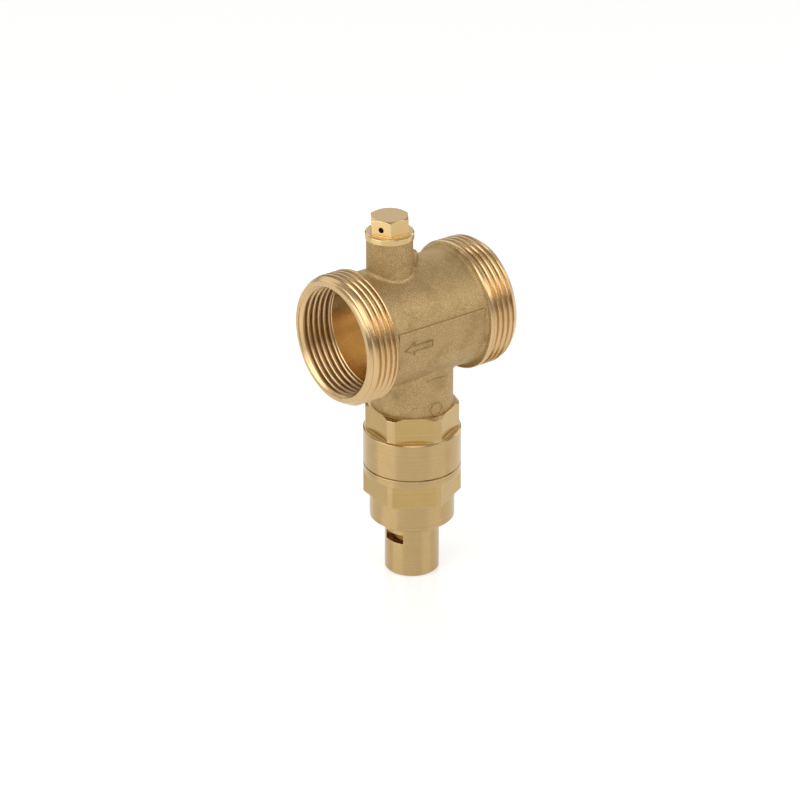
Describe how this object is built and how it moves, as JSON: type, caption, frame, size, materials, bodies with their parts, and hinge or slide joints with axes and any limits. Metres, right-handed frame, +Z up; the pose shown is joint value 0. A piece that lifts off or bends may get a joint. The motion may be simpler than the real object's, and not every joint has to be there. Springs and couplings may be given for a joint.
{
  "type": "anti-freeze valve",
  "caption": "Brass freeze-protection drain valve: threaded straight run, vacuum breaker on top, and a drain stack with hexagon, collar and nozzle below.",
  "frame": {"origin": "on the run axis at the outer end of the inlet thread", "axes": "+X along the run, out of the inlet; +Z up, from the drain nozzle to the vacuum breaker"},
  "size_m": [0.0652, 0.0478, 0.143],
  "materials": {
    "forged_brass": "blasted forging",
    "turned_brass": "satin turned",
    "seal_rubber": "matte",
    "spring_steel": "drawn wire",
    "insert_plastic": "moulded"
  },
  "bodies": {
    "valve": {"valve_body": "forged_brass", "breaker_cap": "turned_brass", "breaker_o_ring": "seal_rubber", "breaker_spring": "spring_steel", "breaker_retainer": "insert_plastic", "shutoff_carrier": "turned_brass", "carrier_o_ring": "seal_rubber", "shutoff_spring": "spring_steel", "shutoff_cage": "insert_plastic", "cartridge_housing": "turned_brass", "housing_o_ring": "seal_rubber", "capsule_holder": "insert_plastic", "holder_clip": "spring_steel", "wax_capsule": "turned_brass", "return_spring": "spring_steel"},
    "breaker_valve": {"breaker_poppet": "turned_brass", "breaker_seal": "seal_rubber"},
    "shutoff_valve": {"shutoff_poppet": "insert_plastic", "shutoff_seal": "seal_rubber"},
    "drain_plug": {"obturator": "turned_brass", "obturator_seal": "seal_rubber", "obturator_nut": "turned_brass", "capsule_piston": "spring_steel"}
  },
  "joints": [
    {"name": "breaker_open", "type": "slide", "parent": "valve", "child": "breaker_valve", "axis": [0, 0, -1], "range_m": [0, 0.0018], "stiffness_N_per_m": 150, "springref_m": -0.003, "deforming": ["breaker_spring"]},
    {"name": "shutoff_lift", "type": "slide", "parent": "valve", "child": "shutoff_valve", "axis": [0, 0, 1], "range_m": [0, 0.0012], "stiffness_N_per_m": 300, "springref_m": -0.002, "deforming": ["shutoff_spring"]},
    {"name": "drain_open", "type": "slide", "parent": "valve", "child": "drain_plug", "axis": [0, 0, 1], "range_m": [0, 0.003], "deforming": ["return_spring"]}
  ]
}
